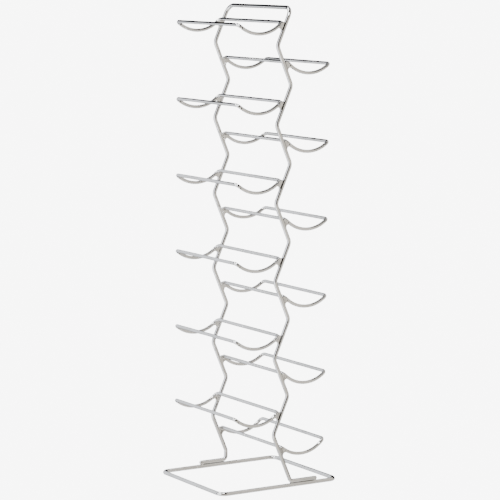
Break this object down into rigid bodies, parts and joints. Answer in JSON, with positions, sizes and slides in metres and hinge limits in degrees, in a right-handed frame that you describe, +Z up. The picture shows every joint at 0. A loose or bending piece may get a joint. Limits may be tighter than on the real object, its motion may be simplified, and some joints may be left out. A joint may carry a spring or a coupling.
{
  "type": "wine rack",
  "caption": "Free-standing welded wire rack with two zigzag uprights on a rectangular base loop, and bottle cradles alternating front and back.",
  "frame": {"origin": "on the floor under the middle of the base loop", "axes": "+X from the left upright to the right one, +Y from the front holders to the back ones, +Z up"},
  "size_m": [0.207, 0.244, 0.8305],
  "materials": {
    "wire_chrome": "polished",
    "weld_chrome": "polished"
  },
  "bodies": {
    "root": {"base_loop": "wire_chrome", "zigzag_frame": "wire_chrome", "front_holder_1": "wire_chrome", "back_holder_1": "wire_chrome", "front_holder_2": "wire_chrome", "back_holder_2": "wire_chrome", "front_holder_3": "wire_chrome", "back_holder_3": "wire_chrome", "front_holder_4": "wire_chrome", "back_holder_4": "wire_chrome", "front_holder_5": "wire_chrome", "back_holder_5": "wire_chrome", "front_holder_6": "wire_chrome", "back_holder_6": "wire_chrome", "front_weld_1": "weld_chrome", "back_weld_1": "weld_chrome", "front_weld_2": "weld_chrome", "back_weld_2": "weld_chrome", "front_weld_3": "weld_chrome", "back_weld_3": "weld_chrome", "front_weld_4": "weld_chrome", "back_weld_4": "weld_chrome", "front_weld_5": "weld_chrome", "back_weld_5": "weld_chrome", "front_weld_6": "weld_chrome", "back_weld_6": "weld_chrome", "left_foot_weld": "weld_chrome", "right_foot_weld": "weld_chrome"}
  },
  "joints": []
}
